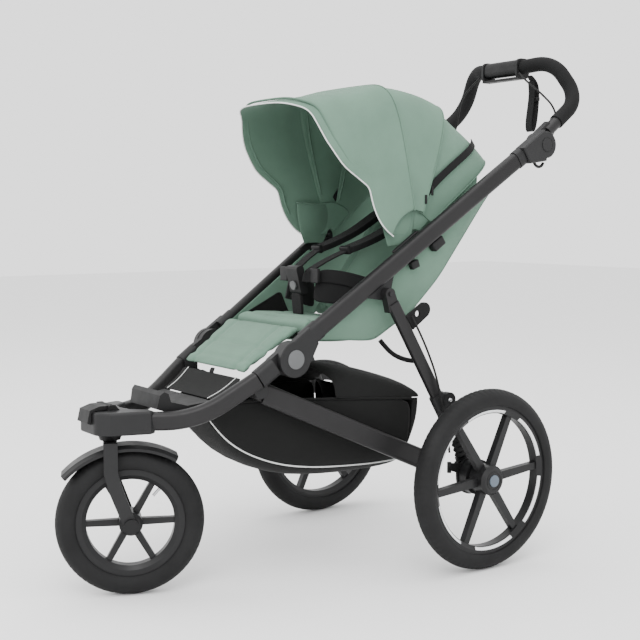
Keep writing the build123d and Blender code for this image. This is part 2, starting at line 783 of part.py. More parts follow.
# ================================================================ footrest and front sling


def slab(points, half_width):
    """A piece with one side profile, the same on both sides of the middle."""
    with BuildPart() as piece:
        with BuildSketch(side_plane(-half_width)):
            with BuildLine():
                Polyline(*points, close=True)
            make_face()
        extrude(amount=2 * half_width)
    return piece.part


def plan_cut(front, rear, y_front, y_rear):
    """A tall prism, narrow in front and wide behind, for trimming a slab to the frame."""
    with BuildPart() as prism:
        with BuildSketch(Plane.XY.offset(100)):
            with BuildLine():
                Polyline(
                    (-front, y_front), (front, y_front), (rear, y_rear), (-rear, y_rear),
                    close=True,
                )
            make_face()
        extrude(amount=1000)
    return prism.part


tray_profile = [
    (-452, 386), (-446, 414), (-438, 421), (-430, 417), (-426, 400), (-396, 392),
    (-350, 400), (-350, 394), (-396, 384), (-430, 378),
]
with BuildPart() as footrest_tray:
    add(slab(tray_profile, 100))
    add(plan_cut(60, 108, -452, -350), mode=Mode.INTERSECT)
save(footrest_tray.part, "footrest_tray")

footwell_profile = [(-349, 399), (-349, 404), (-286, 444), (-286, 439)]
with BuildPart() as footwell:
    add(slab(footwell_profile, 140))
    add(plan_cut(104, 124, -352, -280), mode=Mode.INTERSECT)
save(footwell.part, "front_sling")

pad_profile = [(-288, 446), (-290, 458), (-280, 466), (-160, 547), (-150, 546), (-150, 534)]
with BuildPart() as calf_pad:
    add(slab(pad_profile, 140))
    add(plan_cut(126, 142, -290, -150), mode=Mode.INTERSECT)
save(calf_pad.part, "calf_pad")

# ================================================================ seat
SEAT_HALF = 146
SIDE_IN = 148
SIDE_OUT = 152
seat_base_profile = [(-146, 528), (-147, 548), (-136, 557), (54, 545), (56, 522), (-20, 518)]
save(slab(seat_base_profile, SEAT_HALF), "seat_base")

# the backrest leans back at BACK_LEAN from level
BACK_LEAN = radians(51)
BACK_LENGTH = 462
BACK_THICK = 30
back_up = (cos(BACK_LEAN), sin(BACK_LEAN))
back_out = (sin(BACK_LEAN), -cos(BACK_LEAN))


def back_point(along, behind):
    """A point beside the backrest's face, as (Y, Z)."""
    return (
        CREASE[0] + back_up[0] * along + back_out[0] * behind,
        CREASE[1] + back_up[1] * along + back_out[1] * behind,
    )


back_profile = [
    back_point(16, 6), back_point(16, BACK_THICK - 6), back_point(24, BACK_THICK),
    back_point(BACK_LENGTH - 20, BACK_THICK), back_point(BACK_LENGTH, BACK_THICK - 14),
    back_point(BACK_LENGTH, 8), back_point(BACK_LENGTH - 8, 0), back_point(24, 0),
]
save(slab(back_profile, SEAT_HALF), "seat_back")

with BuildPart() as shoulder_pads:
    with BuildSketch(side_plane(40)):
        with BuildLine():
            Polyline(
                back_point(190, -0.5), back_point(190, -16), back_point(330, -16),
                back_point(345, -0.5), close=True,
            )
        make_face()
    extrude(amount=48)
save_both(shoulder_pads.part, "shoulder_pads")

with BuildPart() as seat_side:
    with BuildSketch(side_plane(SIDE_IN)):
        with BuildLine():
            Polyline(
                (-146, 508), (-60, 516), (30, 504), (135, 566), (207, 636), (330, 806),
                (392, 880), (392, 902), (368, 902), (-146, 548), close=True,
            )
        make_face()
    extrude(amount=SIDE_OUT - SIDE_IN)
save_both(seat_side.part, "seat_sides")

# harness
BUCKLE = (-66, 634)
with BuildPart() as buckle:
    with BuildSketch(side_plane(-22)):
        with Locations(Location((BUCKLE[0], BUCKLE[1], 0), 14)):
            RectangleRounded(20, 64, 7)
    extrude(amount=44)
    with BuildSketch(Plane(origin=(0, -90, 618), x_dir=(1, 0, 0), z_dir=(0, 1, 0.25))):
        Circle(10 + PIN_GAP)
    extrude(amount=19.5, mode=Mode.SUBTRACT)
save(buckle.part, "harness_buckle")

with BuildPart() as buckle_button:
    with BuildSketch(Plane(origin=(0, -78, 621), x_dir=(1, 0, 0), z_dir=(0, 1, 0.25))):
        Circle(10)
    extrude(amount=4)
save(buckle_button.part, "buckle_button")

with BuildPart() as harness_straps:
    with BuildSketch(side_plane(-15)):
        with BuildLine():
            Polyline((-62, 553), (-59, 553), (-56, 602), (-60, 603), close=True)
        make_face()
    extrude(amount=30)
    for sign in (1, -1):
        with BuildSketch(Plane(origin=(sign * 23, -62, 640), z_dir=(sign * 1, 0.62, -0.1))):
            RectangleRounded(50, 6, 2, rotation=90)
        extrude(amount=118)
    add(buckle.part, mode=Mode.SUBTRACT)
save(harness_straps.part, "harness_straps")

# ================================================================ canopy
HOOD_WALL = 3
HOOD_PIN_R = 5
HOOD_EAR = 15
# each panel: half-width outside, radius in front, radius behind, front angle, rear angle
HOOD_SHELLS = {
    "canopy_rear": (166, 285, 285, 74, 42),
    "canopy_middle": (170, 325, 318, 106, 71),
    "canopy_front": (174, 405, 345, 135, 103),
}


def hood_point(angle, radius):
    """A point about the canopy's pivot, by its angle up from the rear."""
    return (HOOD[0] + radius * cos(radians(angle)), HOOD[1] + radius * sin(radians(angle)))


def hood_block(half_width, angles, radii, corner):
    """A solid wedge about the canopy's pivot, rounded over the child's head."""
    front_angle, rear_angle = angles
    front_radius, rear_radius = radii
    middle = (front_angle + rear_angle) / 2
    with BuildPart() as block:
        with BuildSketch(side_plane(-half_width)):
            with BuildLine():
                outer = ThreePointArc(
                    hood_point(rear_angle, rear_radius),
                    hood_point(middle, (front_radius + rear_radius) / 2 - 1),
                    hood_point(front_angle, front_radius),
                )
                Polyline(outer @ 1, HOOD, outer @ 0)
            make_face()
        extrude(amount=2 * half_width)
        crown = block.faces().filter_by(GeomType.CYLINDER)
        sides = block.faces().filter_by(Axis.X)
        fillet([e for e in crown.edges() if any(e in f.edges() for f in sides)], corner)
    return block.part


def hood_shell(half_width, front_radius, rear_radius, front_angle, rear_angle):
    """One canopy panel: an open shell with an ear on each side about the pivot."""
    with BuildPart() as shell:
        add(hood_block(half_width, (front_angle, rear_angle), (front_radius, rear_radius), 60))
        add(
            hood_block(
                half_width - HOOD_WALL, (front_angle, rear_angle),
                (front_radius - HOOD_WALL, rear_radius - HOOD_WALL), 57,
            ),
            mode=Mode.SUBTRACT,
        )
        for low in (half_width - HOOD_WALL, -half_width):
            with BuildSketch(side_plane(low)):
                with Locations(HOOD):
                    Circle(HOOD_EAR)
            extrude(amount=HOOD_WALL)
        with BuildSketch(side_plane(-half_width - 1)):
            with Locations(HOOD):
                Circle(HOOD_PIN_R + PIN_GAP)
        extrude(amount=2 * half_width + 2, mode=Mode.SUBTRACT)
    return shell.part


for name, panel in HOOD_SHELLS.items():
    save(hood_shell(*panel), name)

with BuildPart() as hood_hinge:
    with BuildSketch(side_plane(174.5)):
        with Locations(HOOD):
            Circle(17)
    extrude(amount=9)
    add(upper_tube.part, mode=Mode.SUBTRACT)
    with BuildSketch(side_plane(161)):
        with Locations(HOOD):
            Circle(HOOD_PIN_R)
    extrude(amount=18)
save_both(hood_hinge.part.solids().sort_by(SortBy.VOLUME)[-1], "canopy_hinges")

# ================================================================ lower rails and basket
RAIL_REAR_X = 226
RAIL_W = 20
RAIL_H = 44
rail_from = Vector(RAIL_FRONT_X, *RAIL_FRONT)
rail_to = Vector(RAIL_REAR_X, *RAIL_REAR)
rail_direction = (rail_to - rail_from).normalized()
with BuildPart() as rail:
    with BuildSketch(section_plane(rail_from + rail_direction * 20, rail_direction)):
        RectangleRounded(RAIL_W, RAIL_H, 8)
    extrude(amount=(rail_to - rail_from).length - 20)
    with BuildSketch(side_plane(RAIL_FRONT_X - 9)):
        with Locations(RAIL_FRONT):
            Circle(18)
        with BuildLine():
            Polyline((-262, 399), (-238, 384), (-222, 420), (-255, 436), close=True)
        make_face()
    extrude(amount=18)
    with BuildSketch(side_plane(RAIL_FRONT_X - 12)):
        with Locations(RAIL_FRONT):
            Circle(RAIL_PIN_R + PIN_GAP)
    extrude(amount=26, mode=Mode.SUBTRACT)
save_both(rail.part, "lower_rails")

with BuildPart() as cross_tube:
    with BuildSketch(side_plane(-RAIL_REAR_X + 11)):
        with Locations((RAIL_REAR[0] - 14, RAIL_REAR[1] + 6)):
            Circle(10)
            Circle(8.4, mode=Mode.SUBTRACT)
    extrude(amount=2 * (RAIL_REAR_X - 11))
    add(rail.part, mode=Mode.SUBTRACT)
    add(mirror(rail.part, about=Plane.YZ), mode=Mode.SUBTRACT)
save(cross_tube.part.solids().sort_by(SortBy.VOLUME)[-1], "rail_cross_tube")

basket_outer = [
    (-345, 372), (-330, 388), (-300, 392), (134, 372), (134, 204), (60, 197), (-70, 200),
    (-163, 212), (-272, 262),
]
basket_inner = [
    (-341, 374), (-330, 500), (131, 500), (131, 207), (60, 200), (-70, 203), (-163, 215),
    (-270, 265),
]
with BuildPart() as basket_hollow:
    add(slab(basket_inner, 250))
    add(plan_cut(89, 191, -345, 134), mode=Mode.INTERSECT)
with BuildPart() as basket:
    add(slab(basket_outer, 250))
    add(plan_cut(92, 194, -345, 134), mode=Mode.INTERSECT)
    add(basket_hollow.part, mode=Mode.SUBTRACT)
save(basket.part, "basket")

cover_profile = [
    (-62, 383), (-70, 440), (-50, 452), (40, 436), (120, 410), (134, 396), (134, 373),
    (130, 373), (128, 392), (118, 404), (38, 430), (-50, 446), (-64, 436), (-58, 383),
]
with BuildPart() as basket_cover:
    add(slab(cover_profile, 250))
    add(plan_cut(149, 193, -75, 134), mode=Mode.INTERSECT)
save(basket_cover.part, "basket_cover")
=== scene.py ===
import json
from math import asin, cos, pi, radians, sin, sqrt

import bmesh
import bpy
from mathutils import Matrix, Vector

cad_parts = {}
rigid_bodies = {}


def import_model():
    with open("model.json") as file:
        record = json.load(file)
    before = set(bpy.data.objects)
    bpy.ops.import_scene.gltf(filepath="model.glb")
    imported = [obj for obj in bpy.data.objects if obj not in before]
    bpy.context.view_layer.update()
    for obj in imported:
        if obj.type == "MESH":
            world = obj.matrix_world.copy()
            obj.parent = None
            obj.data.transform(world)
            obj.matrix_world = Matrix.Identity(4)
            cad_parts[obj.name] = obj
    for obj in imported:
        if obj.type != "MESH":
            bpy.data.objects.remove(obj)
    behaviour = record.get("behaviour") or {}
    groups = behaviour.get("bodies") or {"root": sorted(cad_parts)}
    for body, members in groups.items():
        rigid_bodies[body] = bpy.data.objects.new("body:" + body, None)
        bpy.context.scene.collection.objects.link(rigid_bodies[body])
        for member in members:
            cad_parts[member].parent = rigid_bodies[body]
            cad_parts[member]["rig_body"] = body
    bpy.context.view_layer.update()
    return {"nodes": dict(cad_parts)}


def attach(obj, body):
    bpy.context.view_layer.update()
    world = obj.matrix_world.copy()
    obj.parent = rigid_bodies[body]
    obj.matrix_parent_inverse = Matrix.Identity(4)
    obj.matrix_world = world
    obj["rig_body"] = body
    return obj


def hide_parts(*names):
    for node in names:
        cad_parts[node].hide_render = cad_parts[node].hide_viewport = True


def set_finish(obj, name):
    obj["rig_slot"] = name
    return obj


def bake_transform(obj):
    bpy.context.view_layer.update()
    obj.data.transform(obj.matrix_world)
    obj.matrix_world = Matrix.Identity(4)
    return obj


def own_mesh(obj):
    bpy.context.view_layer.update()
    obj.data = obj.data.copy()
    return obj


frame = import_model()
NODES = frame["nodes"]
scene = bpy.context.scene

# The frame's Y runs backwards. SHIFT is what the CAD adds to lengths along Y.
SHIFT = 0.00117
HOOD = (0.145, 0.728)
HANDLE = (0.479, 0.941)
CREASE = (0.058, 0.532)
REAR_AXLE = (0.221, 0.200)
REAR_TRACK = 0.315
STEER_Y = -0.528
STEER_TURN = radians(-24.2)
TRAIL = 0.0385
FRONT_RADIUS = 0.152
TUBE_FOOT = Vector((0.166, -0.179, 0.506))
TUBE_HEAD = Vector((0.218, 0.431, 0.925))
BACK_LEAN = radians(51)


def at(x, y, z):
    """A point given in the CAD's own lengths, in the frame."""
    return Vector((x, y + SHIFT, z))


# ------------------------------------------------------------------ materials


class Nodes:
    """A material's node tree, with short calls to add and join nodes."""

    def __init__(self, name):
        self.material = bpy.data.materials.new(name)
        self.material.use_nodes = True
        self.tree = self.material.node_tree
        self.shader = self.tree.nodes["Principled BSDF"]
        coordinates = self.add("ShaderNodeTexCoord")
        self.place = coordinates.outputs["Object"]

    def add(self, kind, **settings):
        node = self.tree.nodes.new(kind)
        for key, value in settings.items():
            setattr(node, key, value)
        return node

    def join(self, source, target):
        self.tree.links.new(source, target)

    def noise(self, scale, detail=4.0, rough=0.6):
        node = self.add("ShaderNodeTexNoise")
        node.inputs["Scale"].default_value = scale
        node.inputs["Detail"].default_value = detail
        node.inputs["Roughness"].default_value = rough
        self.join(self.place, node.inputs["Vector"])
        return node.outputs["Fac"]

    def wave(self, scale, direction, distortion=0.6):
        node = self.add("ShaderNodeTexWave", bands_direction=direction)
        node.inputs["Scale"].default_value = scale
        node.inputs["Distortion"].default_value = distortion
        node.inputs["Detail"].default_value = 1.0
        self.join(self.place, node.inputs["Vector"])
        return node.outputs["Fac"]

    def speckle(self, scale):
        node = self.add("ShaderNodeTexVoronoi")
        node.inputs["Scale"].default_value = scale
        self.join(self.place, node.inputs["Vector"])
        return node.outputs["Distance"]

    def mix(self, factor, a, b):
        node = self.add("ShaderNodeMath", operation="MULTIPLY_ADD")
        self.join(a, node.inputs[0])
        node.inputs[1].default_value = factor
        self.join(b, node.inputs[2])
        return node.outputs[0]

    def ramp(self, source, low, high, start=0.3, end=0.7):
        node = self.add("ShaderNodeValToRGB")
        node.color_ramp.elements[0].color = (*low, 1)
        node.color_ramp.elements[1].color = (*high, 1)
        node.color_ramp.elements[0].position = start
        node.color_ramp.elements[1].position = end
        self.join(source, node.inputs["Fac"])
        return node.outputs["Color"]

    def bump(self, height, strength, distance):
        node = self.add("ShaderNodeBump")
        node.inputs["Strength"].default_value = strength
        node.inputs["Distance"].default_value = distance
        self.join(height, node.inputs["Height"])
        self.join(node.outputs["Normal"], self.shader.inputs["Normal"])


def vary(colour, share):
    return tuple(min(1.0, c * share) for c in colour)


def fabric(name, colour, thread=900.0, sheen=0.06):
    """Woven cloth: two crossed sets of threads, a little colour variation and a soft sheen."""
    n = Nodes(name)
    across = n.wave(thread, "X")
    along = n.wave(thread, "DIAGONAL")
    weave = n.mix(1.0, across, along)
    cloud = n.noise(14.0, 6.0)
    n.join(n.ramp(cloud, vary(colour, 0.93), vary(colour, 1.07)), n.shader.inputs["Base Color"])
    n.bump(n.mix(0.6, weave, n.noise(700.0, 2.0)), 0.28, 0.0006)
    n.shader.inputs["Roughness"].default_value = 0.86
    n.shader.inputs["Sheen Weight"].default_value = sheen
    n.shader.inputs["Sheen Roughness"].default_value = 0.5
    n.shader.inputs["Specular IOR Level"].default_value = 0.12
    return n.material


def plastic(name, colour, rough=0.5, grain=420.0, depth=0.16):
    """Moulded plastic with a fine spark-eroded grain and slightly uneven gloss."""
    n = Nodes(name)
    cloud = n.noise(9.0, 5.0)
    n.join(n.ramp(cloud, vary(colour, 0.85), vary(colour, 1.15)), n.shader.inputs["Base Color"])
    gloss = n.ramp(n.noise(30.0, 5.0), (rough - 0.06,) * 3, (rough + 0.08,) * 3)
    n.join(gloss, n.shader.inputs["Roughness"])
    n.bump(n.speckle(grain), depth, 0.0004)
    n.shader.inputs["Specular IOR Level"].default_value = 0.22
    return n.material


def metal(name, colour, rough=0.38, metallic=0.75):
    """Anodised or bare metal with fine drawing lines and small gloss changes."""
    n = Nodes(name)
    cloud = n.noise(6.0, 5.0)
    n.join(n.ramp(cloud, vary(colour, 0.9), vary(colour, 1.12)), n.shader.inputs["Base Color"])
    gloss = n.ramp(n.noise(45.0, 4.0), (rough - 0.05,) * 3, (rough + 0.07,) * 3)
    n.join(gloss, n.shader.inputs["Roughness"])
    n.bump(n.noise(1400.0, 2.0), 0.06, 0.0003)
    n.shader.inputs["Metallic"].default_value = metallic
    n.shader.inputs["Specular IOR Level"].default_value = 0.3
    return n.material


def rubber(name, colour, rough=0.72):
    """Moulded rubber or foam with open, uneven pores."""
    n = Nodes(name)
    cloud = n.noise(20.0, 6.0)
    n.join(n.ramp(cloud, vary(colour, 0.8), vary(colour, 1.25)), n.shader.inputs["Base Color"])
    n.bump(n.mix(0.5, n.speckle(650.0), n.noise(240.0, 3.0)), 0.22, 0.0005)
    n.shader.inputs["Roughness"].default_value = rough
    n.shader.inputs["Specular IOR Level"].default_value = 0.16
    return n.material


SAGE = (0.112, 0.190, 0.142)
MATERIALS = {
    "sage": fabric("sage_fabric", SAGE),
    # A darker copy of the sage cloth: painted shade for the hoop sleeves, seams and side pockets.
    "sage_painted_shade": fabric("sage_lining", vary(SAGE, 0.82)),
    "black_cloth": fabric("black_cloth", (0.008, 0.0082, 0.008), sheen=0.03),
    "webbing": fabric("black_webbing", (0.008, 0.008, 0.0082), thread=420.0, sheen=0.04),
    "piping": fabric("silver_piping", (0.62, 0.63, 0.62), thread=1500.0, sheen=0.1),
    "tube": metal("anodised_tube", (0.020, 0.0195, 0.020), 0.42, 0.55),
    "steel": metal("bare_steel", (0.48, 0.48, 0.49), 0.3, 1.0),
    "casting": plastic("dark_casting", (0.012, 0.012, 0.0125), 0.46),
    "black": plastic("black_plastic", (0.006, 0.006, 0.0063), 0.5),
    "rim": plastic("rim_plastic", (0.010, 0.010, 0.0105), 0.40, depth=0.08),
    "emblem": plastic("grey_emblem", (0.095, 0.098, 0.10), 0.4),
    "button": plastic("blue_grey_button", (0.10, 0.125, 0.155), 0.42),
    "foam": rubber("grip_foam", (0.007, 0.007, 0.0072), 0.8),
    "tyre": rubber("tyre_rubber", (0.010, 0.010, 0.0103), 0.68),
    "bellows": rubber("bellows_rubber", (0.008, 0.008, 0.008), 0.55),
    "reflector": plastic("white_reflector", (0.78, 0.79, 0.80), 0.3),
}

CAD_LOOKS = {
    "tube": ["upper_tubes", "lower_tubes", "rear_legs", "lower_rails", "rail_cross_tube", "handlebar"],
    "casting": [
        "fold_castings_rear", "fold_castings_front", "handle_joints", "leg_brackets",
        "front_housing", "leg_feet", "fork", "front_mudguard", "handle_button_left",
        "handle_button_right",
    ],
    "black": [
        "brake_body", "brake_twist_grip", "wheel_carrier_left", "wheel_carrier_right",
        "brake_shield_left", "brake_shield_right", "steering_bearing", "swivel_lock_lever",
        "swivel_lock_hinge", "footrest_tray", "canopy_hinges", "harness_buckle", "front_axle",
    ],
    "emblem": ["fold_caps", "buckle_button"],
    "steel": ["fold_pins", "brake_lever_left", "brake_lever_right"],
    "foam": ["handlebar_foam"],
    "bellows": ["shock_bellows", "brake_cables_upper", "brake_cables_lower"],
    "rim": ["rear_rim_left", "rear_rim_right", "front_rim"],
    "button": ["wheel_release_button_left", "wheel_release_button_right"],
    "webbing": ["leg_tabs"],
}
for look, names in CAD_LOOKS.items():
    for name in names:
        NODES[name].data.materials.clear()
        NODES[name].data.materials.append(MATERIALS[look])


# ------------------------------------------------------------------ building blocks


def new_object(name, mesh, look, body, slot):
    piece = bpy.data.objects.new(name, mesh)
    scene.collection.objects.link(piece)
    piece.data.materials.append(MATERIALS[look])
    if body:
        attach(piece, body)
    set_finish(piece, slot)
    return piece


def grid_mesh(name, rows):
    """A sheet of four-sided faces through rows of points."""
    wide = len(rows[0])
    corners = [p for row in rows for p in row]
    faces = [
        (r * wide + c, r * wide + c + 1, (r + 1) * wide + c + 1, (r + 1) * wide + c)
        for r in range(len(rows) - 1)
        for c in range(wide - 1)
    ]
    mesh = bpy.data.meshes.new(name)
    mesh.from_pydata([tuple(p) for p in corners], [], faces)
    mesh.polygons.foreach_set("use_smooth", [True] * len(faces))
    return mesh


def apply_modifiers(piece):
    """Bake a piece's modifiers into its mesh."""
    shape = piece.evaluated_get(bpy.context.evaluated_depsgraph_get())
    mesh = bpy.data.meshes.new_from_object(shape)
    piece.modifiers.clear()
    piece.data = mesh


def cloth_sheet(name, rows, look, body, slot, thickness=0.0016):
    """A sewn sheet: its rows made solid and rounded."""
    mesh = grid_mesh(name, rows)
    piece = new_object(name, mesh, look, body, slot)
    solid = piece.modifiers.new("thickness", "SOLIDIFY")
    solid.thickness = thickness
    solid.offset = 0
    smooth = piece.modifiers.new("smooth", "SUBSURF")
    smooth.levels = smooth.render_levels = 1
    apply_modifiers(piece)
    return piece


def line(name, points, radius, look, body, slot, closed=False):
    """Piping, a seam, a zipper or a wire: a round curve through the points."""
    curve = bpy.data.curves.new(name, "CURVE")
    curve.dimensions = "3D"
    curve.bevel_depth = radius
    curve.bevel_resolution = 3
    curve.resolution_u = 6
    spline = curve.splines.new("NURBS")
    spline.points.add(len(points) - 1)
    for place, point in zip(spline.points, points):
        place.co = (*point, 1)
    spline.order_u = 3
    spline.use_endpoint_u = not closed
    spline.use_cyclic_u = closed
    curve.use_fill_caps = True
    return new_object(name, curve, look, body, slot)


def strap(name, points, side, width, look, body, slot, thickness=0.0022):
    """Flat webbing along the points, as wide as width towards side."""
    rows = []
    count = len(points)
    for k, point in enumerate(points):
        across = Vector(side[k] if isinstance(side, list) else side).normalized() * width / 2
        rows.append([point - across, point - across * 0.5, point + across * 0.5, point + across])
    mesh = grid_mesh(name, rows)
    piece = new_object(name, mesh, look, body, slot)
    smooth = piece.modifiers.new("smooth", "SUBSURF")
    smooth.levels = smooth.render_levels = 2 if count < 12 else 1
    solid = piece.modifiers.new("thickness", "SOLIDIFY")
    solid.thickness = thickness
    solid.offset = 0
    apply_modifiers(piece)
    return piece


def rounded_box(name, centre, size, look, body, slot, turn=None, bevel=0.25):
    """A small moulded block with rounded edges."""
    mesh = bpy.data.meshes.new(name)
    shape = bmesh.new()
    bmesh.ops.create_cube(shape, size=1)
    bmesh.ops.scale(shape, vec=size, verts=shape.verts)
    bmesh.ops.bevel(
        shape, geom=shape.edges[:], offset=min(size) * bevel, segments=3, affect="EDGES", profile=0.6
    )
    if turn is not None:
        bmesh.ops.rotate(shape, matrix=turn, verts=shape.verts)
    bmesh.ops.translate(shape, vec=centre, verts=shape.verts)
    shape.to_mesh(mesh)
    shape.free()
    mesh.polygons.foreach_set("use_smooth", [True] * len(mesh.polygons))
    return new_object(name, mesh, look, body, slot)


def lathe(name, profile, centre, axis, look, body, slot, steps=64, shape=None):
    """A turned piece: (radius, along) pairs about an axis through a centre."""
    axis = axis.normalized()
    out = axis.orthogonal().normalized()
    side = axis.cross(out)
    rows = []
    for k in range(steps):
        turn = 2 * pi * k / steps
        ray = out * cos(turn) + side * sin(turn)
        rows.append([
            centre + ray * (radius - (shape(turn, n) if shape else 0)) + axis * along
            for n, (radius, along) in enumerate(profile)
        ])
    rows.append(rows[0])
    mesh = grid_mesh(name, rows)
    shape_mesh = bmesh.new()
    shape_mesh.from_mesh(mesh)
    bmesh.ops.remove_doubles(shape_mesh, verts=shape_mesh.verts, dist=1e-6)
    bmesh.ops.recalc_face_normals(shape_mesh, faces=shape_mesh.faces)
    shape_mesh.to_mesh(mesh)
    shape_mesh.free()
    mesh.polygons.foreach_set("use_smooth", [True] * len(mesh.polygons))
    return new_object(name, mesh, look, body, slot)


def mixed(a, b, share):
    return a + (b - a) * share


def along_points(points, share):
    """A point on a chain of straight runs, by its share of the runs' whole length."""
    lengths = [(b - a).length for a, b in zip(points, points[1:])]
    left = share * sum(lengths)
    for start, end, length in zip(points, points[1:], lengths):
        if left <= length + 1e-9:
            return mixed(start, end, left / length)
        left -= length
    return points[-1]


# ------------------------------------------------------------------ cushions


def cushion(name, node, look, body, slot, cap, shrink, voxel=0.006):
    """A padded piece: the CAD solid made a little smaller, then swollen as cloth and capped."""
    piece = new_object(name, NODES[node].data.copy(), look, body, slot)
    piece.data.materials.clear()
    piece.data.materials.append(MATERIALS[look])
    remesh = piece.modifiers.new("remesh", "REMESH")
    remesh.mode = "VOXEL"
    remesh.voxel_size = voxel
    apply_modifiers(piece)
    for vertex, normal in [(v, v.normal.copy()) for v in piece.data.vertices]:
        vertex.co -= normal * shrink
    smooth = piece.modifiers.new("relax", "SMOOTH")
    smooth.factor = 0.5
    smooth.iterations = 6
    apply_modifiers(piece)
    start = [v.co.copy() for v in piece.data.vertices]
    cloth = piece.modifiers.new("cloth", "CLOTH")
    cloth.settings.use_pressure = True
    cloth.settings.uniform_pressure_force = 4
    cloth.settings.effector_weights.gravity = 0
    cloth.settings.quality = 4
    cloth.point_cache.frame_start = 1
    cloth.point_cache.frame_end = 20
    for number in range(1, 21):
        scene.frame_set(number)
    apply_modifiers(piece)
    scene.frame_set(1)
    for vertex, rest in zip(piece.data.vertices, start):
        moved = vertex.co - rest
        if moved.length > cap:
            vertex.co = rest + moved.normalized() * cap
    relax = piece.modifiers.new("relax", "SMOOTH")
    relax.factor = 0.5
    relax.iterations = 3
    finer = piece.modifiers.new("finer", "SUBSURF")
    finer.levels = finer.render_levels = 1
    apply_modifiers(piece)
    piece.data.polygons.foreach_set("use_smooth", [True] * len(piece.data.polygons))
    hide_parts(node)
    return piece


def press_channels(piece, channels, width=0.007, depth=0.0045):
    """Sewn channels: points near a plane (point, normal) sink along their own normals."""
    for vertex in piece.data.vertices:
        for point, normal in channels:
            away = abs((vertex.co - point).dot(normal)) / width
            if away < 3:
                vertex.co -= vertex.normal * depth * 2.718 ** (-away * away)


seat_base = cushion("seat_cushion", "seat_base", "sage", "rear_frame", "sage_fabric", 0.008, 0.004)
press_channels(seat_base, [(at(0, -0.112, 0.55), Vector((0, 1, 0))), (at(0, -0.03, 0.55), Vector((0, 1, 0)))])
seat_back = cushion("back_cushion", "seat_back", "sage", "seat_back", "sage_fabric", 0.008, 0.004)
back_up = Vector((0, cos(BACK_LEAN), sin(BACK_LEAN)))
back_out = Vector((0, sin(BACK_LEAN), -cos(BACK_LEAN)))
crease = at(0, *CREASE)
press_channels(
    seat_back,
    [(crease + back_up * d, back_up) for d in (0.10, 0.33)] + [
        (Vector((s * 0.10, 0, 0)), Vector((1, 0, 0))) for s in (1, -1)
    ],
)
calf_pad = cushion("calf_cushion", "calf_pad", "sage", "front_frame", "sage_fabric", 0.005, 0.002)
calf_up = Vector((0, 0.81, 0.587)).normalized()
press_channels(
    calf_pad,
    [(at(0, -0.262, 0.47), calf_up), (at(0, -0.225, 0.50), calf_up)] + [
        (Vector((s * 0.085, 0, 0)), Vector((1, 0, 0))) for s in (1, -1)
    ],
    depth=0.003,
)

# ------------------------------------------------------------------ canopy
# each panel: body, half-width, rear angle, front angle, and radii from rear to front
CANOPY = {
    "canopy_rear": ("rear_frame", 0.160, 38, 76, (0.300, 0.299, 0.298, 0.308)),
    "canopy_middle": ("canopy_middle", 0.167, 74, 106, (0.314, 0.328, 0.338, 0.345)),
    "canopy_front": ("canopy_front", 0.174, 104, 137, (0.347, 0.358, 0.384, 0.424)),
}
ARCH = 6.5  # how boxy the hoops are
VISOR_ARCH = 3.4  # the visor's edge is rounder
FOOT = 0.18  # share of a hoop's height at which the cloth ends by the pivot
ARCH_STEPS = 44
PANEL_STEPS = 10
SAG = 0.018  # share of its radius by which a panel sags between its edges
SWELL = 0.10  # the hoops stand wider over the child's head than at the pivots
CLOTH_INSET = 0.0015
BELLY = 0.003  # how far a panel's sides draw in between its edges
PIPING_INSET = 0.001
HOOP_INSET = 0.0045  # the hoop lies in a sleeve inside the cloth, just behind the panel's front edge
HOOP_DEPTH = 0.008
HOOP_BACK = 3  # degrees
HOOP_PLACE = 0.9
HOOP_FOOT = 0.3
HOOP_WIRE = 0.0025
# The visor's edge: share of its height over the pivot, and degrees by which it leads or trails.
VISOR_EDGE = ((0.18, 40), (0.42, 6), (0.60, 7), (0.76, 3), (0.90, -2), (1.0, 0))


def visor_lead(height, share):
    """How far the visor's edge runs ahead of a straight hoop, growing towards its free edge."""
    for (low, a), (high, b) in zip(VISOR_EDGE, VISOR_EDGE[1:]):
        if height <= high:
            return share * mixed(a, b, max(0.0, (height - low) / (high - low)))
    return 0.0


def hoop_turn(share):
    """Turns close together near the pivots, from one side over the top to the other."""
    eased = share**2 / (share**2 + (1 - share) ** 2)
    return pi * eased


def hoop_points(half, angle, radius, lead=0.0, arch=ARCH, foot=FOOT):
    """One canopy hoop, from the left pivot over the top to the right pivot."""
    points = []
    end = asin(foot ** (arch / 2)) / pi
    inset = sqrt(end) / (sqrt(end) + sqrt(1 - end))
    for n in range(ARCH_STEPS + 1):
        turn = hoop_turn(mixed(inset, 1 - inset, n / ARCH_STEPS))
        c, s = cos(turn), sin(turn)
        height = s ** (2 / arch)
        x = half * abs(c) ** (2 / arch) * (1 if c >= 0 else -1) * (1 + SWELL * height)
        rise = radius * height
        lean = radians(angle + visor_lead(height, lead))
        points.append(at(x, HOOD[0] + rise * cos(lean), HOOD[1] + rise * sin(lean)))
    return points


def panel_shape(name, share):
    """How much of the visor's lead a panel has at that share of its depth, and how boxy it is there."""
    lead = share if name == "canopy_front" else 0.0
    return lead, mixed(ARCH, VISOR_ARCH, lead)


def panel_radius(radii, share):
    """The panel's radius about the pivots, from its rear edge to its front edge."""
    place = share * (len(radii) - 1)
    k = min(int(place), len(radii) - 2)
    return mixed(radii[k], radii[k + 1], place - k)


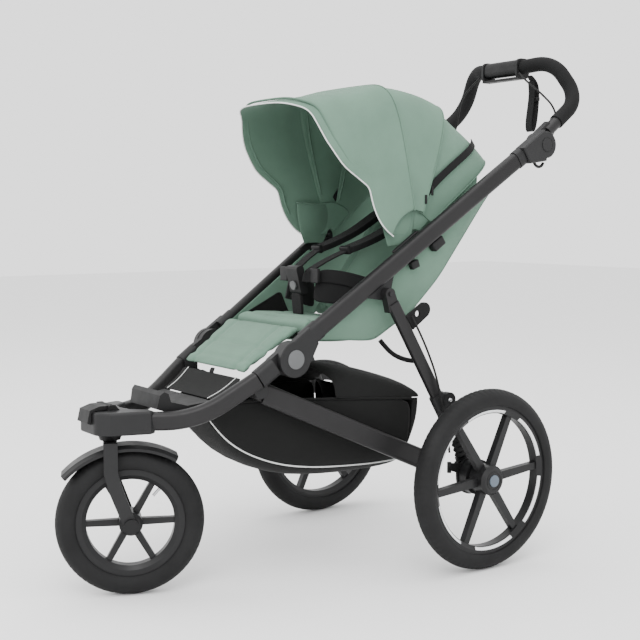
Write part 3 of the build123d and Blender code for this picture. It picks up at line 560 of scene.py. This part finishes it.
for name, (body, half, rear_angle, front_angle, radii) in CANOPY.items():
    rows = []
    for k in range(PANEL_STEPS + 1):
        share = k / PANEL_STEPS
        slack = 1 - SAG * sin(pi * share)
        radius = panel_radius(radii, share) * slack
        angle = mixed(rear_angle, front_angle, share)
        inner_half = half - CLOTH_INSET - BELLY * sin(pi * share)
        rows.append(hoop_points(inner_half, angle, radius, *panel_shape(name, share)))
    piece = cloth_sheet(f"{name}_cloth", rows, "sage", body, "sage_fabric")
    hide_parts(name)
    for edge, share in (("front", 1.0), ("rear", 0.0)):
        radius = panel_radius(radii, share)
        angle = mixed(rear_angle, front_angle, share)
        look = "piping" if (name, edge) == ("canopy_front", "front") else "sage"
        edge_points = hoop_points(half - PIPING_INSET, angle, radius, *panel_shape(name, share))
        thick = 0.0015 if look == "piping" else 0.0012
        line(f"{name}_{edge}_piping", edge_points, thick, look, body, "sage_fabric")
    hoop_radius = panel_radius(radii, 1) - HOOP_DEPTH
    shape = panel_shape(name, HOOP_PLACE)
    hoop = hoop_points(half - HOOP_INSET, front_angle - HOOP_BACK, hoop_radius, *shape, foot=HOOP_FOOT)
    # The hoop uses the darker sage, painted shade along the hoop sleeve.
    line(f"{name}_hoop", hoop, HOOP_WIRE, "sage_painted_shade", body, "sage_fabric")

# The zipper across the rear panel's sides, as degrees and shares of the panel's height, with its two
# pullers at the lower end.
ZIPPER = [(80, 0.30), (70, 0.42), (62, 0.55), (56, 0.70), (52, 0.83), (50, 0.93), (49, 0.975)]
ZIP_WIDTH = 0.017
rear_half, rear_radius = CANOPY["canopy_rear"][1], CANOPY["canopy_rear"][4][0]
for side, sign in (("left", 1), ("right", -1)):
    zip_points = []
    for angle, height in ZIPPER:
        x = rear_half * (1 - height**ARCH) ** (1 / ARCH) * (1 + SWELL * height) + 0.0030
        rise = rear_radius * height
        zip_points.append(at(
            sign * x, HOOD[0] + rise * cos(radians(angle)), HOOD[1] + rise * sin(radians(angle))
        ))
    strap(f"zipper_{side}", zip_points, (0, -0.62, 0.79), ZIP_WIDTH, "webbing", "rear_frame", "black_fabric")
    for k, place in enumerate((0.03, 0.14)):
        spot = along_points(zip_points, place) + Vector((sign * 0.0035, 0, -0.009))
        rounded_box(
            f"zip_puller_{side}_{k}", spot, (0.0024, 0.0055, 0.020), "black", "rear_frame", "black_plastic"
        )
    gusset = [
        [
            at(
                sign * 0.1575, HOOD[0] + reach * cos(radians(40 + 138 * n / 12)),
                HOOD[1] + 0.004 + reach * sin(radians(40 + 138 * n / 12)),
            )
            for n in range(13)
        ]
        for reach in (0.012, 0.036, 0.060, 0.078)
    ]
    cloth_sheet(f"canopy_gusset_{side}", gusset, "sage", "rear_frame", "sage_fabric")
    rounded_box(
        f"canopy_bracket_{side}", at(sign * 0.178, 0.105, 0.712), (0.010, 0.080, 0.024), "black",
        "rear_frame", "black_plastic", Matrix.Rotation(radians(34), 3, "X"),
    )
    rounded_box(
        f"tube_toggle_{side}", at(sign * 0.192, 0.180, 0.715), (0.020, 0.036, 0.022), "black",
        "rear_frame", "black_plastic", Matrix.Rotation(radians(34), 3, "X"),
    )
    rounded_box(
        f"strap_toggle_{side}", at(sign * 0.188, 0.118, 0.670), (0.014, 0.022, 0.018), "black",
        "rear_frame", "black_plastic", Matrix.Rotation(radians(20), 3, "X"),
    )
    pocket = []
    for k in range(9):
        share = k / 8
        front, rear = mixed(0.044, 0.066, share**2), mixed(0.143, 0.120, share**3)
        pocket.append([
            at(
                sign * (0.160 - 0.010 * sin(pi * m / 8) * sin(pi * min(1, share + 0.15))),
                mixed(front, rear, m / 8),
                mixed(0.808, 0.708, share) + 0.006 * sin(pi * m / 8) * (share - 0.5),
            )
            for m in range(9)
        ])
    # Pocket and hem use the darker sage, painted shade in the tucked pocket.
    cloth_sheet(f"side_pocket_{side}", pocket, "sage_painted_shade", "rear_frame", "sage_fabric")
    line(f"pocket_hem_{side}", pocket[0], 0.0022, "sage_painted_shade", "rear_frame", "sage_fabric")

# ------------------------------------------------------------------ seat sides and shells
SIDE_BOTTOM = [
    (-0.140, 0.512), (-0.060, 0.512), (0.030, 0.504), (0.135, 0.566), (0.207, 0.638), (0.330, 0.808),
    (0.392, 0.882),
]
SIDE_TOP = [(-0.150, 0.534), (0.392, 0.902)]
for side, sign in (("left", 1), ("right", -1)):
    bottom = [Vector((0, *p)) for p in SIDE_BOTTOM]
    top = [Vector((0, *p)) for p in SIDE_TOP]
    rows = []
    for k in range(25):
        share = k / 24
        low, high = along_points(bottom, share), along_points(top, share)
        tube_x = mixed(TUBE_FOOT.x, TUBE_HEAD.x, (high.y - TUBE_FOOT.y) / (TUBE_HEAD.y - TUBE_FOOT.y))
        row = []
        for m in range(9):
            down = m / 8
            place = mixed(high, low, down)
            bulge = 0.006 * sin(pi * down)
            row.append(at(sign * (tube_x - 0.0155 - 0.012 * down + bulge), place.y, place.z))
        rows.append(row)
    piece = cloth_sheet(
        f"seat_side_{side}", rows, "sage", "rear_frame", "sage_fabric"
    )
    if side == "left":
        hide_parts("seat_sides")
    inward = Vector((-sign * 0.003, 0, 0))
    window = [[p + inward for p in row[2:8]] for row in rows[1:7]]
    cloth_sheet(
        f"side_mesh_{side}", window, "black_cloth", "rear_frame", "black_fabric", 0.0008,
    )
    rim = [row[0] for row in window] + window[-1][1:] + [row[-1] for row in window[-2::-1]]
    line(f"side_mesh_binding_{side}", rim, 0.0018, "black_cloth", "rear_frame", "black_fabric")
    # The seam uses the darker sage, painted shade along the crease.
    line(
        f"seat_side_seam_{side}", [row[-1] for row in rows], 0.0016, "sage_painted_shade", "rear_frame", "sage_fabric"
    )

shell_rows = []
for k in range(9):
    share = k / 8
    y = mixed(-0.140, 0.050, share)
    z = 0.514 - 0.006 * sin(pi * share)
    shell_rows.append([at(mixed(-0.150, 0.150, m / 16), y, z - 0.005 * sin(pi * m / 16)) for m in range(17)])
cloth_sheet("seat_underside", shell_rows, "sage", "rear_frame", "sage_fabric")

# ------------------------------------------------------------------ basket and its cover


def trough(name, stations, look, body, slot, upwards=False, power=3.2, steps=24):
    """A lofted bag: at each station an arc hangs between the two upper edges."""
    rows = []
    for y, half, edge_z, deep_z in stations:
        row = []
        for m in range(steps + 1):
            turn = pi * m / steps
            c, s = cos(turn), sin(turn)
            x = half * abs(c) ** (2 / power) * (1 if c >= 0 else -1)
            row.append(at(x, y, mixed(edge_z, deep_z, abs(s) ** (2 / power))))
        rows.append(row)
    return cloth_sheet(name, rows, look, body, slot)


basket_stations = [
    (-0.344, 0.088, 0.374, 0.366), (-0.325, 0.092, 0.384, 0.330), (-0.29, 0.099, 0.390, 0.282),
    (-0.24, 0.108, 0.391, 0.244), (-0.17, 0.122, 0.388, 0.213), (-0.09, 0.139, 0.384, 0.199),
    (0.0, 0.160, 0.380, 0.196), (0.07, 0.175, 0.376, 0.197), (0.115, 0.186, 0.373, 0.203),
]
basket = trough("basket_bag", basket_stations, "black_cloth", "rails", "black_fabric")
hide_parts("basket")
rear_rows = []
for m in range(17):
    turn = pi * m / 16
    x = 0.186 * abs(cos(turn)) ** (2 / 3.2) * (1 if cos(turn) >= 0 else -1)
    low = mixed(0.373, 0.203, abs(sin(turn)) ** (2 / 3.2))
    rear_rows.append([at(x, mixed(0.115, 0.133, sin(pi * n / 8)), mixed(low, 0.374, n / 8)) for n in range(9)])
cloth_sheet("basket_rear_panel", rear_rows, "black_cloth", "rails", "black_fabric")
for side, sign in (("left", 1), ("right", -1)):
    seam = []
    for y, half, edge_z, deep_z in basket_stations:
        c = cos(0.27 * pi)
        seam.append(at(
            sign * half * c ** (2 / 3.2) * 1.006, y,
            mixed(edge_z, deep_z, sin(0.27 * pi) ** (2 / 3.2)) - 0.001,
        ))
    line(f"basket_piping_{side}", seam, 0.0017, "piping", "rails", "black_fabric")
    rim = [at(sign * half, y, edge_z) for y, half, edge_z, _ in basket_stations]
    line(f"basket_rim_{side}", rim, 0.003, "black_cloth", "rails", "black_fabric")

cover_stations = [
    (-0.070, 0.150, 0.384, 0.440), (-0.055, 0.152, 0.383, 0.451), (-0.02, 0.158, 0.382, 0.449),
    (0.04, 0.170, 0.379, 0.436), (0.09, 0.181, 0.377, 0.420), (0.118, 0.187, 0.375, 0.409),
    (0.133, 0.190, 0.374, 0.392),
]
cover = trough("basket_lid", cover_stations, "black_cloth", "rails", "black_fabric")
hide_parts("basket_cover")

# ------------------------------------------------------------------ front sling with its piping
sling_rows = []
for k in range(9):
    share = k / 8
    half = mixed(0.104, 0.122, share)
    y, z = mixed(-0.349, -0.287, share), mixed(0.402, 0.442, share) - 0.004 * sin(pi * share)
    sling_rows.append([at(mixed(-half, half, m / 12), y, z) for m in range(13)])
sling = cloth_sheet(
    "front_sling_cloth", sling_rows, "black_cloth", "front_frame", "black_fabric"
)
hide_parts("front_sling")
for side, sign in (("left", 1), ("right", -1)):
    seam = [row[-2 if sign > 0 else 1] + Vector((0, -0.0008, 0.0012)) for row in sling_rows]
    line(f"sling_piping_{side}", seam, 0.0009, "piping", "front_frame", "black_fabric")

# ------------------------------------------------------------------ harness


def soften(piece, size):
    """Round a padded strap's edges."""
    bevel = piece.modifiers.new("round", "BEVEL")
    bevel.width = size
    bevel.segments = 2
    apply_modifiers(piece)
    piece.data.polygons.foreach_set("use_smooth", [True] * len(piece.data.polygons))


for side, sign in (("left", 1), ("right", -1)):
    pad = [
        crease + back_up * 0.350 - back_out * 0.008 + Vector((sign * 0.058, 0, 0)),
        at(sign * 0.058, 0.205, 0.778), at(sign * 0.057, 0.150, 0.742), at(sign * 0.056, 0.085, 0.716),
        at(sign * 0.054, 0.030, 0.699),
    ]
    piece = strap(f"shoulder_pad_{side}", pad, (1, 0, 0), 0.042, "webbing", "seat_back", "webbing", 0.013)
    soften(piece, 0.004)
    if side == "left":
        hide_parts("shoulder_pads")
    upper = [
        crease + back_up * 0.335 - back_out * 0.012 + Vector((sign * 0.057, 0, 0)),
        crease + back_up * 0.385 - back_out * 0.007 + Vector((sign * 0.055, 0, 0)),
        crease + back_up * 0.405 + back_out * 0.004 + Vector((sign * 0.054, 0, 0)),
    ]
    strap(f"shoulder_strap_{side}", upper, (1, 0, 0), 0.025, "webbing", "seat_back", "webbing")
    lower = [
        at(sign * 0.055, 0.045, 0.704), at(sign * 0.048, 0.010, 0.690), at(sign * 0.036, -0.025, 0.672),
        at(sign * 0.027, -0.056, 0.652),
    ]
    piece = strap(f"chest_strap_{side}", lower, (1, 0.1, 0), 0.025, "webbing", None, "webbing", 0.003)
    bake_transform(piece)
    rounded_box(
        f"pad_slider_{side}", at(sign * 0.0545, 0.030, 0.700), (0.034, 0.010, 0.018), "black",
        "seat_back", "black_plastic", Matrix.Rotation(radians(25), 3, "X"),
    )
    waist = [
        at(sign * 0.022, -0.064, 0.640), at(sign * 0.060, -0.052, 0.645), at(sign * 0.105, -0.012, 0.640),
        at(sign * 0.130, 0.040, 0.618), at(sign * 0.139, 0.085, 0.592),
    ]
    wings = [
        Vector((0, 0.25, 1)), Vector((0, 0.2, 1)), Vector((sign * -0.15, 0.2, 1)),
        Vector((sign * -0.2, 0, 1)), Vector((0, 0, 1)),
    ]
    piece = strap(f"waist_strap_{side}", waist, wings, 0.025, "webbing", "rear_frame", "webbing", 0.004)
    if side == "left":
        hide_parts("harness_straps")
    wing = [
        at(sign * 0.050, -0.050, 0.622), at(sign * 0.090, -0.025, 0.622), at(sign * 0.122, 0.025, 0.610),
        at(sign * 0.136, 0.075, 0.590),
    ]
    piece = strap(f"waist_wing_{side}", wing, wings[1:], 0.075, "webbing", "rear_frame", "webbing", 0.010)
    soften(piece, 0.003)
    rounded_box(
        f"waist_slider_{side}", at(sign * 0.060, -0.058, 0.645), (0.028, 0.008, 0.032), "black",
        "rear_frame", "black_plastic",
    )
crotch = [at(0, -0.062, 0.555), at(0, -0.064, 0.578), at(0, -0.066, 0.604)]
strap("crotch_strap", crotch, (1, 0, 0), 0.036, "webbing", "rear_frame", "webbing", 0.006)

# ------------------------------------------------------------------ wrist strap and hanging loops
wrist = [
    at(0.094, 0.562, 1.118), at(0.094, 0.586, 1.100), at(0.094, 0.588, 1.070), at(0.098, 0.581, 1.030),
    at(0.100, 0.573, 0.990), at(0.098, 0.564, 0.978), at(0.092, 0.562, 0.995), at(0.090, 0.572, 1.040),
    at(0.090, 0.578, 1.080), at(0.092, 0.570, 1.106),
]
piece = strap("wrist_webbing", wrist, (1, 0, 0), 0.020, "webbing", "handlebar", "webbing", 0.0018)
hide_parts("wrist_strap")
rounded_box("wrist_slider", at(0.094, 0.583, 1.062), (0.026, 0.010, 0.010), "black", "handlebar", "black_plastic")
loop_strap = [
    at(0.128, 0.071, 0.500), at(0.136, 0.086, 0.478), at(0.140, 0.112, 0.460), at(0.156, 0.140, 0.450),
    at(0.176, 0.158, 0.452),
]
line("seat_loop_strap", loop_strap, 0.0055, "webbing", "rear_frame", "webbing")
foot_loop = [at(0, -0.284, 0.452), at(0, -0.290, 0.444), at(0, -0.287, 0.434)]
strap("pad_pull_loop", foot_loop, (1, 0, 0), 0.016, "webbing", "front_frame", "webbing", 0.0014)

# ------------------------------------------------------------------ wheels


def tread(name, centre, axis, radius, section, inner, body, blocks):
    """A tyre: smooth walls with a raised ring line, and shoulder blocks cut by grooves."""
    steps = blocks * 4
    profile = []
    for k in range(41):
        turn = radians(mixed(-158, 158, k / 40))
        along = section * sin(turn)
        out = max(radius - section + section * cos(turn), inner - 0.0005)
        profile.append((out, along))

    def groove(turn, n):
        side = abs(mixed(-158, 158, n / 40))
        phase = (turn / (2 * pi) * blocks + side * 0.012) % 1.0
        depth = 0.0
        if 14 < side < 52 and phase < 0.26:
            depth = 0.0013
        if 7 <= side <= 12:
            depth = 0.0011
        if 60 < side < 64:
            depth = -0.0006
        return depth

    return lathe(name, profile, centre, axis, "tyre", body, "tyre_rubber", steps, groove)


LEFT = Vector((1, 0, 0))
for side, sign in (("left", 1), ("right", -1)):
    hub = at(sign * REAR_TRACK, *REAR_AXLE)
    tyre = tread(f"rear_tread_{side}", hub, LEFT, 0.200, 0.024, 0.1642, f"rear_wheel_{side}", 84)
    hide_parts(f"rear_tyre_{side}")
    for k in range(6):
        rows = []
        for m in range(15):
            turn = radians(5 + 60 * k + mixed(9, 51, m / 14))
            ray = Vector((0, cos(turn), sin(turn)))
            rows.append([
                hub + ray * r + LEFT * sign * a for r, a in ((0.1490, 0.0121), (0.1522, 0.0143), (0.1550, 0.0161))
            ])
        mesh = grid_mesh(f"reflector_{side}_{k}", rows)
        strip = new_object(f"reflector_{side}_{k}", mesh, "reflector", f"rear_wheel_{side}", "grey_trim")
        solid = strip.modifiers.new("thickness", "SOLIDIFY")
        solid.thickness = 0.0008
        solid.offset = 0
        apply_modifiers(strip)
    ring = [
        hub + LEFT * sign * 0.0262 + Vector((0, cos(2 * pi * k / 24), sin(2 * pi * k / 24))) * 0.020
        for k in range(24)
    ]
    line(f"hub_ring_{side}", ring, 0.0009, "rim", f"rear_wheel_{side}", "rim_plastic", closed=True)

caster_back = Vector((-sin(STEER_TURN), cos(STEER_TURN), 0))
caster_left = Vector((cos(STEER_TURN), sin(STEER_TURN), 0))
front_hub = at(0, STEER_Y, FRONT_RADIUS) + caster_back * TRAIL
tyre = tread("front_tread", front_hub, caster_left, FRONT_RADIUS, 0.025, 0.1112, "front_wheel", 64)
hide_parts("front_tyre")
valve_turn = radians(48)
valve_ray = caster_back * cos(valve_turn) + Vector((0, 0, 1)) * sin(valve_turn)
line(
    "valve_stem", [front_hub + valve_ray * r + caster_left * 0.004 for r in (0.093, 0.082, 0.070)],
    0.003, "steel", "front_wheel", "steel",
)

# ------------------------------------------------------------------ small fastenings
for side, sign in (("left", 1), ("right", -1)):
    lathe(
        f"leg_rivet_{side}", [(0.0, 0.0035), (0.0035, 0.003), (0.0048, 0.0), (0.0048, -0.003), (0.0, -0.003)],
        at(sign * 0.2525, 0.170, 0.372), LEFT * sign, "steel", "legs", "steel", 24,
    )
    hook = [
        at(sign * 0.221, 0.447, 0.917), at(sign * 0.222, 0.449, 0.900), at(sign * 0.222, 0.462, 0.889),
        at(sign * 0.222, 0.478, 0.892), at(sign * 0.222, 0.481, 0.900),
    ]
    line(f"bag_hook_{side}", hook, 0.0035, "black", "rear_frame", "black_plastic")
    button_ring = [
        at(sign * 0.2374, HANDLE[0] + 0.0166 * cos(2 * pi * k / 24), HANDLE[1] + 0.0166 * sin(2 * pi * k / 24))
        for k in range(24)
    ]
    line(f"joint_ring_{side}", button_ring, 0.0007, "black", "rear_frame", "black_plastic", closed=True)

# ------------------------------------------------------------------ cloth pieces given meshes of their own


def as_mesh(piece):
    """A curve turned into a mesh, keeping its place, look and body."""
    shape = bpy.data.meshes.new_from_object(piece.evaluated_get(bpy.context.evaluated_depsgraph_get()))
    fresh = bpy.data.objects.new(piece.name, shape)
    scene.collection.objects.link(fresh)
    body, slot, name = piece["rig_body"], piece["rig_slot"], piece.name
    fresh.matrix_world = piece.matrix_world.copy()
    bpy.data.objects.remove(piece)
    fresh.name = name
    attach(fresh, body)
    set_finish(fresh, slot)
    return fresh


# Each group of cloth and a height in the frame, which the loop below does not read; each piece gets a mesh of its
# own.
GIVES = (
    (("basket_bag", "basket_rear_panel", "basket_piping_left", "basket_piping_right"), 0.392),
    (("basket_lid",), 0.373),
    (("front_sling_cloth", "sling_piping_left", "sling_piping_right"), 0.399),
    (("calf_cushion",), 0.446),
)
for names, height in GIVES:
    for name in names:
        piece = bpy.data.objects[name]
        if piece.type == "CURVE":
            piece = as_mesh(piece)
        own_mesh(piece)

# ------------------------------------------------------------------ floor, light and camera
floor_mesh = bpy.data.meshes.new("floor")
floor_mesh.from_pydata([(-12, -12, 0), (12, -12, 0), (12, 12, 0), (-12, 12, 0)], [], [(0, 1, 2, 3)])
floor = bpy.data.objects.new("floor", floor_mesh)
scene.collection.objects.link(floor)
floor_look = bpy.data.materials.new("floor")
floor_look.use_nodes = True
floor_look.node_tree.nodes["Principled BSDF"].inputs["Base Color"].default_value = (0.86, 0.86, 0.86, 1)
floor_look.node_tree.nodes["Principled BSDF"].inputs["Roughness"].default_value = 0.9
floor.data.materials.append(floor_look)

world = bpy.data.worlds.new("studio")
scene.world = world
world.use_nodes = True
world.node_tree.nodes["Background"].inputs["Color"].default_value = (1, 1, 1, 1)
world.node_tree.nodes["Background"].inputs["Strength"].default_value = 1.9

for name, place, size, power in (
    ("key", (2.4, -2.2, 3.4), 2.6, 120),
    ("fill", (-2.6, -2.6, 2.2), 3.0, 55),
    ("top", (0.2, 0.4, 3.8), 3.0, 70),
):
    lamp = bpy.data.lights.new(name, "AREA")
    lamp.energy = power
    lamp.size = size
    holder = bpy.data.objects.new(name, lamp)
    holder.location = place
    aim = Vector((0, 0, 0.5)) - Vector(place)
    holder.rotation_euler = aim.to_track_quat("-Z", "Y").to_euler()
    scene.collection.objects.link(holder)

camera_data = bpy.data.cameras.new("camera")
camera_data.lens = 64.97
camera_data.sensor_width = 36
camera_data.shift_y = 0.0057
camera = bpy.data.objects.new("camera", camera_data)
camera.location = at(2.1327, -1.5322, 0.7799)
camera.rotation_euler = (radians(90 - 5.41), 0, radians(54.34))
scene.collection.objects.link(camera)
scene.camera = camera
